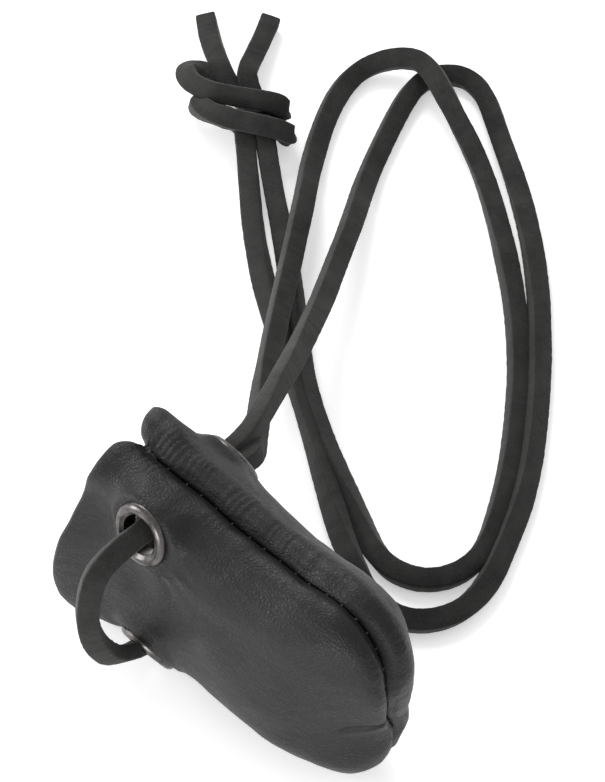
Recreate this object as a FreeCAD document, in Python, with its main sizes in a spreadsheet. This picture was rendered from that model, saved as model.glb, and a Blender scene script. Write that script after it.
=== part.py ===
"""Small leather drawstring bag for dice, lying on its side seam, with its mouth at -X.

Millimetres. X runs along the bag from the mouth to the bottom, Y across it from the
front panel to the back panel, and Z up from the surface that the bag lies on.
The leather lace runs through two eyelets in the front panel and one in the back panel,
and its two ends are tied together in an overhand knot.
"""
import FreeCAD, Part
import math
import os

import Sketcher

Vector = FreeCAD.Vector

# ---------------------------------------------------------------- driving dimensions
SIZES = {
    "leather": 1.4,              # thickness of both panels
    "front_eyelet_x": -18.3,     # both front eyelets, measured along the bag
    "upper_eyelet_y": -12.4,     # outer face of the leather under the eyelet's middle
    "upper_eyelet_z": 40.5,
    "upper_eyelet_tilt": 14.0,   # degrees that the eyelet leans up from facing the front
    "lower_eyelet_y": -12.1,
    "lower_eyelet_z": 6.15,
    "lower_eyelet_tilt": -28.0,  # it leans down, at the bag's lower front corner
    "back_eyelet_x": -25.0,
    "back_eyelet_y": 16.0,
    "back_eyelet_z": 31.2,
    "back_eyelet_tilt": 18.0,
    "flange_radius": 6.25,
    "flange_height": 1.2,
    "flange_edge": 0.25,         # height of the flange at its outer edge
    "bore_height": 0.66,         # height of the crown where it meets the bore
    "crown_offset": 0.7,         # from the bore to the highest ring of the crown
    "bore_radius": 4.0,
    "barrel_radius": 4.4,
    "washer_radius": 6.1,
    "washer_thickness": 0.5,
    "lip_radius": 5.2,
    "lip_thickness": 0.4,
    "lip_bevel": 0.3,
    "hole_depth": 16.0,          # length of the tool that pierces the leather
    "hole_inside": 10.0,         # how much of that tool lies inside the bag
    "lace_diameter": 3.4,        # round stand-in for the 4 by 3 lace
    "stitch_radius": 0.3,
    "stitch_length": 2.4,
    "stitch_pitch": 4.0,
    "knot_length": 26.0,
    "knot_width": 16.0,
    "knot_height": 9.8,
    "knot_x": -110.5,
    "knot_y": 98.0,
    "knot_z": 5.0,
    "knot_turn": 8.0,            # degrees from +X to the knot's long way
}

# Sections of the bag across X, from the rim of the mouth to the bottom seam.
SECTION_SIZES = ("station", "front", "back", "middle", "half", "front_round", "back_round")
SECTIONS = (
    (-36.0, 19.6, 17.0, 22.7, 23.1, 10.0, 15.0),
    (-28.0, 14.2, 16.7, 23.2, 22.7, 8.5, 16.3),
    (-18.5, 12.6, 15.8, 23.5, 23.2, 8.3, 15.3),
    (-6.0, 13.8, 14.3, 22.8, 22.0, 11.0, 13.6),
    (6.0, 14.4, 13.8, 22.4, 22.3, 12.4, 13.0),
    (17.0, 13.2, 13.2, 23.0, 23.4, 12.0, 12.5),
    (25.0, 10.4, 11.3, 23.9, 22.0, 9.7, 10.7),
    (31.0, 7.0, 7.9, 24.5, 18.6, 6.6, 7.4),
    (34.3, 3.9, 4.8, 24.7, 14.2, 3.6, 4.4),
    (36.0, 1.4, 2.1, 24.7, 9.0, 1.2, 1.8),
)

# Routes of the lace. Strand 1 starts in the mouth on the way from the lower front eyelet,
# strand 2 on the way from the upper one. The bight joins them outside the front panel.
STRAND_1 = (
    (-20.25, -4.25, 16.25), (-22.0, -3.0, 26.0), (-23.2, 1.5, 31.2), (-23.1, 21.0, 30.6),
    (-26.9, 26.2, 25.2), (-35.0, 33.6, 21.5), (-43.7, 42.8, 16.6), (-52.6, 53.0, 12.0),
    (-61.6, 64.2, 8.2), (-70.6, 75.9, 6.5), (-79.5, 87.5, 6.0), (-88.3, 98.8, 2.0),
    (-96.5, 110.0, 2.0), (-102.5, 119.5, 2.0), (-102.0, 127.0, 2.5), (-97.0, 132.7, 4.5),
    (-90.0, 134.5, 6.5), (-78.0, 130.0, 6.0), (-63.0, 124.5, 2.0), (-46.5, 113.0, 2.0),
    (-31.0, 100.5, 2.0), (-17.5, 86.5, 2.0), (-5.5, 72.0, 2.0), (3.5, 60.0, 2.0),
    (9.0, 50.5, 2.0), (9.3, 42.5, 2.0), (4.6, 36.0, 2.0), (-3.5, 33.8, 2.0),
    (-16.0, 38.2, 2.0), (-32.0, 47.7, 2.0), (-48.5, 59.2, 2.0), (-64.0, 70.8, 2.0),
    (-79.0, 81.5, 2.0), (-90.0, 89.0, 2.5), (-101.5, 97.5, 5.0),
)
STRAND_2 = (
    (-22.65, -3.0, 36.5), (-26.8, -0.5, 32.5), (-26.75, 6.0, 31.45),
    (-26.8, 22.5, 31.4), (-30.0, 29.0, 30.2), (-35.0, 37.5, 26.6), (-40.9, 47.3, 21.5),
    (-47.0, 57.1, 16.6), (-53.5, 67.6, 12.2), (-60.7, 78.5, 8.4), (-68.6, 91.0, 5.8),
    (-77.5, 104.0, 2.0), (-86.0, 116.5, 2.0), (-92.0, 127.5, 2.0), (-90.8, 135.5, 2.0),
    (-85.0, 141.0, 2.0), (-77.0, 142.0, 2.0), (-66.0, 135.5, 2.0), (-50.0, 124.0, 2.0),
    (-34.5, 111.5, 2.0), (-21.0, 98.0, 2.0), (-8.5, 84.0, 2.0), (3.0, 69.5, 2.0),
    (11.0, 56.0, 2.0), (16.5, 44.5, 2.0), (15.5, 35.5, 2.0), (9.5, 29.0, 2.0),
    (0.5, 27.5, 2.0), (-12.0, 32.0, 2.0), (-28.5, 40.5, 2.0), (-43.0, 49.5, 2.0),
    (-57.0, 59.0, 2.0), (-70.5, 67.0, 2.0), (-83.5, 76.0, 2.0), (-94.0, 84.0, 2.5),
    (-105.0, 92.5, 5.0),
)
BIGHT = (
    (-22.65, -3.0, 36.5), (-18.5, -5.5, 40.5), (-18.5, -22.5, 40.5), (-18.5, -27.0, 34.0),
    (-18.5, -27.8, 23.5), (-18.5, -27.6, 13.0), (-18.5, -23.6, 5.9), (-18.5, -5.5, 6.5),
    (-20.25, -4.25, 16.25),
)
TAIL_1 = ((-114.5, 100.5, 5.0), (-125.0, 107.2, 3.4), (-136.5, 113.0, 2.0))
TAIL_2 = ((-111.0, 102.6, 5.2), (-119.8, 112.0, 3.4), (-126.5, 123.0, 2.0))

ARC_SHARE = 0.45      # of the shorter run, taken by the arc at each corner
CROWN_ALONG = 0.65    # where the crown's arc is highest, from its inner end to its outer end
CROWN_RISE = 0.86     # height of the arc there, as a share of the flange's height
STITCH_FLOOR = 1.0    # lowest height of a stitch's middle
BLOCK_X, BLOCK_Y, BLOCK_Z = 50.0, 40.0, 60.0   # blocks that part the shell into its halves

doc = FreeCAD.newDocument("dice_bag")
sheet = doc.addObject("Spreadsheet::Sheet", "Sizes")
parts = []


# ---------------------------------------------------------------- the sheet
def fill_sheet():
    """Write every size into the sheet, with its name as the cell's alias."""
    rows = dict(SIZES)
    for index, section in enumerate(SECTIONS):
        for name, value in zip(SECTION_SIZES, section):
            rows[f"{name}_{index}"] = value
    for row, (name, value) in enumerate(rows.items(), start=1):
        sheet.set(f"A{row}", name)
        sheet.set(f"B{row}", str(value))
        sheet.setAlias(f"B{row}", name)
    doc.recompute()


def cell(name):
    """The expression that reads one size."""
    return f"Sizes.{name}"


def size(name):
    """The value of one size."""
    return float(sheet.get(name))


def keep(obj, node):
    """Name a finished sub-part and list it for export."""
    obj.Label = node
    parts.append(obj)
    return obj


# ---------------------------------------------------------------- leather shell
def section_sketch(index, inside):
    """One rounded rectangle across the bag; the inside one is smaller by the leather."""
    sketch = doc.addObject("Sketcher::SketchObject", f"{'Inner' if inside else 'Outer'}{index}")
    wall = size("leather") if inside else 0.0
    less = " - Sizes.leather" if inside else ""
    station, front, back, middle, half, front_round, back_round = (
        size(f"{name}_{index}") for name in SECTION_SIZES
    )
    front, back, half = front - wall, back - wall, half - wall
    front_round, back_round = front_round - wall, back_round - wall
    low, high = middle - half, middle + half
    corners = (
        (-front + front_round, low + front_round, front_round, 180, 270),
        (back - back_round, low + back_round, back_round, 270, 360),
        (back - back_round, high - back_round, back_round, 0, 90),
        (-front + front_round, high - front_round, front_round, 90, 180),
    )
    for across, up, radius, start, end in corners:
        circle = Part.Circle(Vector(across, up, 0), Vector(0, 0, 1), radius)
        sketch.addGeometry(Part.ArcOfCircle(circle, math.radians(start), math.radians(end)))
    sides = (
        ((-front + front_round, low), (back - back_round, low)),
        ((back, low + back_round), (back, high - back_round)),
        ((back - back_round, high), (-front + front_round, high)),
        ((-front, high - front_round), (-front, low + front_round)),
    )
    for (across_a, up_a), (across_b, up_b) in sides:
        sketch.addGeometry(
            Part.LineSegment(Vector(across_a, up_a, 0), Vector(across_b, up_b, 0))
        )
    for side in range(4):
        sketch.addConstraint(Sketcher.Constraint("Tangent", side, 2, side + 4, 1))
        sketch.addConstraint(Sketcher.Constraint("Tangent", side + 4, 2, (side + 1) % 4, 1))
    for side, way in enumerate(("Horizontal", "Vertical", "Horizontal", "Vertical")):
        sketch.addConstraint(Sketcher.Constraint(way, side + 4))
    sketch.addConstraint(Sketcher.Constraint("Equal", 0, 3))
    sketch.addConstraint(Sketcher.Constraint("Equal", 1, 2))
    bound = (
        (("Radius", 0, front_round), f"front_round_{index}{less}"),
        (("Radius", 1, back_round), f"back_round_{index}{less}"),
        (("DistanceX", 7, 1, -1, 1, front), f"front_{index}{less}"),
        (("DistanceX", -1, 1, 5, 1, back), f"back_{index}{less}"),
        (("DistanceY", -1, 1, 6, 1, high), f"middle_{index} + Sizes.half_{index}{less}"),
        (("DistanceY", 4, 1, 6, 1, 2 * half), None),
    )
    for arguments, expression in bound:
        number = sketch.addConstraint(Sketcher.Constraint(*arguments))
        if expression is None:
            shrink = " - 2 * Sizes.leather" if inside else ""
            expression = f"half_{index} * 2{shrink}"
        sketch.setExpression(f"Constraints[{number}]", f"Sizes.{expression}")
    upright = FreeCAD.Rotation(Vector(0, 1, 0), Vector(0, 0, 1), Vector(1, 0, 0), "ZXY")
    sketch.Placement = FreeCAD.Placement(Vector(station - wall, 0, 0), upright)
    sketch.setExpression("Placement.Base.x", f"Sizes.station_{index}{less}")
    return sketch


def loft(name, sketches):
    """A smooth solid through the sections."""
    solid = doc.addObject("Part::Loft", name)
    solid.Sections = sketches
    solid.Solid = True
    solid.Ruled = False
    return solid


def box(name, low, high):
    """A plain block between two corners."""
    block = doc.addObject("Part::Box", name)
    block.Length, block.Width, block.Height = (b - a for a, b in zip(low, high))
    block.Placement.Base = Vector(*low)
    return block


def eyelet_placement(where, tilt, front):
    """Local Z points out of the leather at an eyelet; tilt is above the horizontal."""
    across = -math.cos(math.radians(tilt)) if front else math.cos(math.radians(tilt))
    out = Vector(0, across, math.sin(math.radians(tilt)))
    turn = FreeCAD.Rotation(Vector(0, 0, 1), out)
    return FreeCAD.Placement(Vector(*where), turn)


def eyelet_places():
    """Node prefix, panel and placement of each of the three eyelets."""
    found = []
    for which, prefix, along, front in (
        ("upper", "front_upper", "front", True),
        ("lower", "front_lower", "front", True),
        ("back", "back", "back", False),
    ):
        where = (size(f"{along}_eyelet_x"), size(f"{which}_eyelet_y"), size(f"{which}_eyelet_z"))
        place = eyelet_placement(where, size(f"{which}_eyelet_tilt"), front)
        found.append((prefix, "front_panel" if front else "back_panel", place))
    return found


def make_panels():
    """Two leather panels that meet in the seam plane Y = 0, flattened where they lie."""
    outer = loft("OuterForm", [section_sketch(i, False) for i in range(len(SECTIONS))])
    # the inner form stops one section short of the bottom, where the seam is solid
    inner = loft("InnerForm", [section_sketch(i, True) for i in range(len(SECTIONS) - 1)])
    shell = doc.addObject("Part::Cut", "Shell")
    shell.Base = outer
    shell.Tool = inner
    halves = {
        "front_panel": box("FrontHalf", (-BLOCK_X, -BLOCK_Y, 0), (BLOCK_X, 0, BLOCK_Z)),
        "back_panel": box("BackHalf", (-BLOCK_X, 0, 0), (BLOCK_X, BLOCK_Y, BLOCK_Z)),
    }
    for node, half in halves.items():
        common = doc.addObject("Part::Common", f"{node}_half")
        common.Base = shell
        common.Tool = half
        panel = common
        for prefix, owner, place in eyelet_places():
            if owner != node:
                continue
            hole = doc.addObject("Part::Cylinder", f"{prefix}_hole")
            hole.setExpression("Radius", cell("barrel_radius"))
            hole.setExpression("Height", cell("hole_depth"))
            inward = Vector(0, 0, -size("hole_inside"))
            hole.Placement = place.multiply(FreeCAD.Placement(inward, FreeCAD.Rotation()))
            cut = doc.addObject("Part::Cut", f"{prefix}_pierced")
            cut.Base = panel
            cut.Tool = hole
            panel = cut
        keep(panel, node)


# ---------------------------------------------------------------- eyelets and washers
def profile_body(name, corners, arc_after):
    """A body turned about its own Z from straight edges, with one crowned edge."""
    body = doc.addObject("PartDesign::Body", name)
    sketch = body.newObject("Sketcher::SketchObject", f"{name}Profile")
    plane = next(f for f in body.Origin.OriginFeatures if f.Role == "XZ_Plane")
    sketch.AttachmentSupport = [(plane, "")]
    sketch.MapMode = "FlatFace"
    points = [Vector(size(r) if isinstance(r, str) else r, z, 0) for r, z, _, _ in corners]
    count = len(points)
    for index in range(count):
        here, there = points[index], points[(index + 1) % count]
        if index == arc_after:
            across = here.x * (1 - CROWN_ALONG) + there.x * CROWN_ALONG
            crown = Vector(across, max(here.y, there.y) * CROWN_RISE, 0)
            sketch.addGeometry(Part.Arc(here, crown, there))
        else:
            sketch.addGeometry(Part.LineSegment(here, there))
    starts = [1] * count
    ends = [2] * count
    if arc_after is not None and sketch.getPoint(arc_after, 1).distanceToPoint(
        points[arc_after]
    ) > 1e-6:
        starts[arc_after], ends[arc_after] = 2, 1
    for index in range(count):
        after = (index + 1) % count
        sketch.addConstraint(
            Sketcher.Constraint("Coincident", index, ends[index], after, starts[after])
        )
    for index, (_, _, radius, height) in enumerate(corners):
        number = sketch.addConstraint(
            Sketcher.Constraint(
                "DistanceX", -1, 1, index, starts[index], points[index].x
            )
        )
        sketch.setExpression(f"Constraints[{number}]", radius)
        if abs(points[index].y) < 1e-9:
            sketch.addConstraint(
                Sketcher.Constraint("PointOnObject", index, starts[index], -1)
            )
            continue
        up = points[index].y > 0
        order = (-1, 1, index, starts[index]) if up else (index, starts[index], -1, 1)
        number = sketch.addConstraint(
            Sketcher.Constraint("DistanceY", *order, abs(points[index].y))
        )
        sketch.setExpression(f"Constraints[{number}]", height)
    turned = body.newObject("PartDesign::Revolution", f"{name}Turned")
    turned.Profile = sketch
    turned.ReferenceAxis = (sketch, ["V_Axis"])
    turned.Angle = 360
    body.Tip = turned
    return body


def make_eyelets():
    """Three crowned eyelets, each set through its panel and rolled over a washer."""
    leather = size("leather")
    washer = size("washer_thickness")
    lip = size("lip_thickness")
    under = leather + washer
    through = "Sizes.leather + Sizes.washer_thickness"
    ring = size("bore_radius") + size("crown_offset")
    bevel = size("lip_radius") - size("lip_bevel")
    eyelet_corners = (
        ("bore_radius", size("bore_height"), "Sizes.bore_radius", "Sizes.bore_height"),
        (ring, size("flange_height"), "Sizes.bore_radius + Sizes.crown_offset",
         "Sizes.flange_height"),
        ("flange_radius", size("flange_edge"), "Sizes.flange_radius", "Sizes.flange_edge"),
        ("flange_radius", 0.0, "Sizes.flange_radius", ""),
        ("barrel_radius", 0.0, "Sizes.barrel_radius", ""),
        ("barrel_radius", -under, "Sizes.barrel_radius", through),
        ("lip_radius", -under, "Sizes.lip_radius", through),
        (bevel, -under - lip, "Sizes.lip_radius - Sizes.lip_bevel",
         f"{through} + Sizes.lip_thickness"),
        ("bore_radius", -under - lip, "Sizes.bore_radius", f"{through} + Sizes.lip_thickness"),
    )
    washer_corners = (
        ("barrel_radius", -leather, "Sizes.barrel_radius", "Sizes.leather"),
        ("washer_radius", -leather, "Sizes.washer_radius", "Sizes.leather"),
        ("washer_radius", -under, "Sizes.washer_radius", through),
        ("barrel_radius", -under, "Sizes.barrel_radius", through),
    )
    for prefix, _, place in eyelet_places():
        eyelet = keep(profile_body(f"{prefix}_eyelet", eyelet_corners, 1), f"{prefix}_eyelet")
        eyelet.Placement = place
        ring = keep(profile_body(f"{prefix}_washer", washer_corners, None), f"{prefix}_washer")
        ring.Placement = place


# ---------------------------------------------------------------- seam thread
def seam_outline():
    """The seam's middle line from the lower rim round the bottom to the upper rim."""
    inset = size("leather") / 2
    lower = []
    upper = []
    for index in range(len(SECTIONS)):
        station = size(f"station_{index}")
        middle = size(f"middle_{index}")
        half = size(f"half_{index}") - inset
        lower.append(Vector(station, 0, middle - half))
        upper.append(Vector(station, 0, middle + half))
    lower[-1].x -= inset
    upper[-1].x -= inset
    return lower + upper[::-1]


def make_thread():
    """Short stitches across the seam, one at each step along it."""
    pitch = size("stitch_pitch")
    half = size("stitch_length") / 2
    radius = size("stitch_radius")
    outline = seam_outline()
    stitches = []
    left_over = pitch
    for start, end in zip(outline, outline[1:]):
        run = end.sub(start)
        along = left_over
        while along < run.Length:
            middle = start.add(Vector(run).normalize().multiply(along))
            middle.z = max(middle.z, STITCH_FLOOR)
            foot = middle.sub(Vector(0, half, 0))
            stitches.append(Part.makeCylinder(radius, 2 * half, foot, Vector(0, 1, 0)))
            along += pitch
        left_over = along - run.Length
    thread = doc.addObject("Part::Feature", "SeamThread")
    thread.Shape = Part.makeCompound(stitches)
    thread.Placement = FreeCAD.Placement()
    keep(thread, "seam_thread")


# ---------------------------------------------------------------- lace
def rounded_path(name, points):
    """Straight runs joined by tangent arcs; prints the smallest arc radius."""
    corners = [Vector(*p) for p in points]
    edges = []
    radii = []
    here = corners[0]
    for before, corner, after in zip(corners, corners[1:], corners[2:]):
        back = before.sub(corner)
        ahead = after.sub(corner)
        turn = math.pi - back.getAngle(ahead)
        setback = ARC_SHARE * min(back.Length, ahead.Length)
        radius = setback / math.tan(turn / 2)
        back.normalize()
        ahead.normalize()
        start = corner.add(back * setback)
        end = corner.add(ahead * setback)
        inward = back.add(ahead).normalize()
        crown = corner.add(inward * (radius / math.cos(turn / 2) - radius))
        edges.append(Part.LineSegment(here, start).toShape())
        edges.append(Part.Arc(start, crown, end).toShape())
        radii.append(radius)
        here = end
    edges.append(Part.LineSegment(here, corners[-1]).toShape())
    print(name, "arc radii", " ".join(f"{radius:.0f}" for radius in radii))
    return Part.Wire(edges)


def make_lace(node, points):
    """A round tube of the lace along one route."""
    spine = doc.addObject("Part::Feature", f"{node}_line")
    spine.Shape = rounded_path(node, points)
    first = Vector(*points[1]).sub(Vector(*points[0]))
    ring = doc.addObject("Part::Circle", f"{node}_ring")
    ring.setExpression("Radius", "Sizes.lace_diameter / 2")
    ring.Placement = FreeCAD.Placement(
        Vector(*points[0]), FreeCAD.Rotation(Vector(0, 0, 1), first)
    )
    tube = doc.addObject("Part::Sweep", f"{node}_tube")
    tube.Sections = [ring]
    tube.Spine = (spine, [f"Edge{i + 1}" for i in range(len(spine.Shape.Edges))])
    tube.Solid = True
    tube.Frenet = False
    doc.recompute()
    area = math.pi * (size("lace_diameter") / 2) ** 2
    ratio = tube.Shape.Volume / (area * spine.Shape.Length)
    print(node, f"length {spine.Shape.Length:.1f}, volume over section times length {ratio:.4f}")
    keep(tube, node)


def make_knot():
    """The overhand knot's outer shape, with both strands and both tails ending in it."""
    knot = doc.addObject("Part::Ellipsoid", "Knot")
    knot.setExpression("Radius1", "Sizes.knot_height / 2")
    knot.setExpression("Radius2", "Sizes.knot_length / 2")
    knot.setExpression("Radius3", "Sizes.knot_width / 2")
    turn = FreeCAD.Rotation(Vector(0, 0, 1), size("knot_turn"))
    where = Vector(size("knot_x"), size("knot_y"), size("knot_z"))
    knot.Placement = FreeCAD.Placement(where, turn)
    keep(knot, "drawstring_knot")


# ---------------------------------------------------------------- build and export
fill_sheet()
make_panels()
make_eyelets()
make_thread()
make_lace("drawstring_strand_1", STRAND_1)
make_lace("drawstring_strand_2", STRAND_2)
make_lace("drawstring_bight", BIGHT)
make_lace("drawstring_tail_1", TAIL_1)
make_lace("drawstring_tail_2", TAIL_2)
make_knot()
doc.recompute()

for obj in doc.Objects:
    if "Invalid" in obj.State or "Error" in obj.State:
        raise RuntimeError(f"{obj.Name} failed: {obj.State}")
for part in parts:
    if part.Shape.isNull() or not part.Shape.isValid():
        raise RuntimeError(f"{part.Label} has no valid shape")
os.makedirs("parts", exist_ok=True)
for part in parts:
    part.Shape.exportStep(f"parts/{part.Label}.step")
    bounds = part.Shape.BoundBox
    print(
        f"{part.Label:22s} solids {len(part.Shape.Solids)} volume {part.Shape.Volume:9.1f}"
        f"  X {bounds.XMin:7.2f} {bounds.XMax:7.2f}  Y {bounds.YMin:7.2f} {bounds.YMax:7.2f}"
        f"  Z {bounds.ZMin:6.2f} {bounds.ZMax:6.2f}"
    )
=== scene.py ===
"""Drawstring dice bag: leather panels, set eyelets and one flat leather lace.

Lengths are in millimetres until a mesh or a curve is made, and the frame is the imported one.
"""

import math

import bmesh
import bpy
import numpy as np
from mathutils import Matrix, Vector, noise
from mathutils.kdtree import KDTree


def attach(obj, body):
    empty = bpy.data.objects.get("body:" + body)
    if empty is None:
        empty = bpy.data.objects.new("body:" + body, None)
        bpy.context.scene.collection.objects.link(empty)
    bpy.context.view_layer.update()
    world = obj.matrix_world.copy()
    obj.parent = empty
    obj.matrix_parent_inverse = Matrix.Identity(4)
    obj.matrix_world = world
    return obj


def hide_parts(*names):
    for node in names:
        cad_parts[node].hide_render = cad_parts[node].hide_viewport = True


MM = 0.001
LACE_WIDTH = 4.3
LACE_THICK = 3.1
LACE_CORNER = 0.45
LACE_BOW = 1.04  # how many times as far out the middle of a wide face stands as its edges
CUT_BAND = 0.12  # faces this near the lace's narrow sides are cut faces
END_BOW = 0.12
FLOOR_GAP = 0.05  # the lace lies this far above the floor
LEATHER = 1.4  # thickness of the panels
SEAM_ALLOWANCE = 3  # in whole millimetres, one row of faces for each
HELD = 10.0  # radius at which an eyelet's hold on the leather ends
FLANGE = 6.5  # radius of the leather that an eyelet's flange holds flat
PUNCHED = 4.5  # radius of the hole punched for an eyelet
PUNCH_SNAP = 0.24  # points this near the hole's edge are drawn onto it
STITCH_PITCH = 4.0
STITCH_RADIUS = 0.20
STITCH_HALF = 0.75  # how far a stitch reaches to either side of the seam

# ---------------------------------------------------------------- routes of the lace, in mm
STRAND_1 = (
    (-20.2, -4.2, 16.25), (-22, -3, 26), (-23.2, 1.5, 31.2), (-23.2, 19.8, 30.6),
    (-26.3, 23.6, 27), (-31.9, 28.9, 23.8), (-38.3, 36.1, 19.8), (-45.8, 44.8, 15.6),
    (-53.3, 53.6, 11.8), (-61.8, 64, 8.3), (-70.7, 75.7, 6.5), (-79.6, 87.4, 6),
    (-88.7, 98.2, 2), (-96.5, 110, 2), (-101, 119.8, 2), (-101.4, 127.3, 2.5),
    (-97, 132.7, 4.5), (-90.4, 134.5, 6.5), (-78, 129.1, 6), (-63.6, 123.9, 2),
    (-46.8, 112.7, 2), (-31, 100.5, 2), (-17, 86.9, 2), (-5.1, 72.5, 2), (3.3, 60.1, 2),
    (8, 51.1, 2), (8.2, 43, 2), (3.8, 36.8, 2), (-4.4, 34.9, 2), (-16.1, 40.1, 2),
    (-32.7, 47.7, 2), (-49.6, 57.9, 2), (-64.7, 70, 2), (-79.4, 81.1, 2), (-90.4, 88.6, 2.5),
    (-101.9, 97.1, 5),
)
STRAND_2 = (
    (-22.6, -3, 36.5), (-26.8, -0.5, 32.4), (-26.7, 6, 31.5), (-26.7, 20.5, 31.3), (-29.4, 27.3, 30.6),
    (-34.5, 36.5, 27), (-40.9, 47.3, 21.5), (-47, 57.1, 17), (-53.2, 66.9, 12.8),
    (-60.4, 77.7, 9.2), (-68.7, 90.9, 6.2), (-77.8, 103.7, 2), (-84.9, 117.8, 2),
    (-89.6, 128.5, 2), (-90.1, 135.1, 2), (-85.4, 140.6, 2), (-78.1, 139.9, 2),
    (-67.9, 133.5, 2), (-50.9, 123.1, 2), (-35.1, 110.9, 2), (-21.4, 97.5, 2), (-8.9, 83.5, 2),
    (2.4, 68.9, 2), (9.3, 55.9, 2), (14.4, 44.7, 2), (14.5, 35.6, 2), (9.4, 28.5, 2),
    (1.2, 27.4, 2), (-11.4, 32.6, 2), (-27, 42, 2), (-41.5, 51, 2), (-56.6, 59.5, 2),
    (-70.2, 67.3, 2), (-83.2, 76.4, 2), (-93.3, 84.8, 2.5), (-103.9, 93.5, 5),
)
BIGHT = (
    (-22.65, -3, 36.5), (-18.6, -5.4, 40.5), (-18.4, -9.5, 40.8), (-18.4, -22.4, 40.3),
    (-18.3, -25.7, 34), (-18.1, -26.6, 26.4), (-17.8, -24.9, 18.4), (-17.6, -20.4, 10.6),
    (-18.3, -8.5, 6.1), (-18.6, -5, 6.6), (-20.25, -4.25, 16.25),
)

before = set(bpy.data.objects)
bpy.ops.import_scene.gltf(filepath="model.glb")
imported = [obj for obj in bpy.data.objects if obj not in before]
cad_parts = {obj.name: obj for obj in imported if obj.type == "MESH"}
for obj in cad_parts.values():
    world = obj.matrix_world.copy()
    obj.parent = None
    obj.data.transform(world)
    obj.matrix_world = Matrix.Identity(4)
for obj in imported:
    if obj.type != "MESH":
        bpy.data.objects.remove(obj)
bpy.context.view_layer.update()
scene = bpy.context.scene


# ---------------------------------------------------------------- camera, floor and light
def make_stage():
    """A pale floor that glows a little, three soft lights on the left and a camera on the right."""
    target = Vector((-46.78, 55.35, 0)) * MM
    azimuth, elevation, distance = math.radians(46), math.radians(50), 738.6 * MM
    back = Vector(
        (
            math.sin(azimuth) * math.cos(elevation),
            -math.cos(azimuth) * math.cos(elevation),
            math.sin(elevation),
        )
    )
    right = Vector((math.cos(azimuth), math.sin(azimuth), 0))
    ahead = Vector((right.y, -right.x, 0))  # level, from the object towards the camera
    data = bpy.data.cameras.new("camera")
    data.lens, data.sensor_width = 170, 36
    data.clip_start, data.clip_end = 0.05, 10
    camera = bpy.data.objects.new("camera", data)
    camera.location = target + back * distance
    camera.rotation_euler = (-back).to_track_quat("-Z", "Y").to_euler()
    scene.collection.objects.link(camera)
    scene.camera = camera

    mesh = bpy.data.meshes.new("floor")
    reach = 3.0
    mesh.from_pydata(
        [(-reach, -reach, 0), (reach, -reach, 0), (reach, reach, 0), (-reach, reach, 0)],
        [],
        [(0, 1, 2, 3)],
    )
    floor = bpy.data.objects.new("floor", mesh)
    scene.collection.objects.link(floor)
    white = plain_material("floor_white", (0.93, 0.93, 0.93), 0.7)
    shader = white.node_tree.nodes["Principled BSDF"]
    shader.inputs["Emission Color"].default_value = (1, 1, 1, 1)
    shader.inputs["Emission Strength"].default_value = 0.40
    mesh.materials.append(white)

    world = bpy.data.worlds.new("studio")
    world.use_nodes = True
    world.node_tree.nodes["Background"].inputs[0].default_value = (1, 1, 1, 1)
    world.node_tree.nodes["Background"].inputs[1].default_value = 0.70
    scene.world = world

    lamps = (
        # name, direction from the object, distance, size, energy
        ("key", -right * 0.95 - ahead * 0.10 + Vector((0, 0, 0.34)), 0.9, 0.40, 3.8),
        ("front", -right * 0.45 + ahead * 0.85 + Vector((0, 0, 0.22)), 1.0, 0.40, 4.2),
        ("rim", -right * 0.25 - ahead * 0.80 + Vector((0, 0, 0.75)), 1.1, 0.50, 5.5),
    )
    for name, way, far, wide, energy in lamps:
        light = bpy.data.lights.new(name, "AREA")
        light.shape, light.size, light.energy = "DISK", wide, energy
        lamp = bpy.data.objects.new(name, light)
        lamp.location = target + way.normalized() * far
        lamp.rotation_euler = (-way).to_track_quat("-Z", "Y").to_euler()
        scene.collection.objects.link(lamp)
    scene.view_settings.view_transform = "Standard"
    scene.view_settings.look = "None"


# ---------------------------------------------------------------- materials
def plain_material(name, colour, rough):
    material = bpy.data.materials.new(name)
    material.use_nodes = True
    shader = material.node_tree.nodes["Principled BSDF"]
    shader.inputs["Base Color"].default_value = (*colour, 1)
    shader.inputs["Roughness"].default_value = rough
    return material


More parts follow.
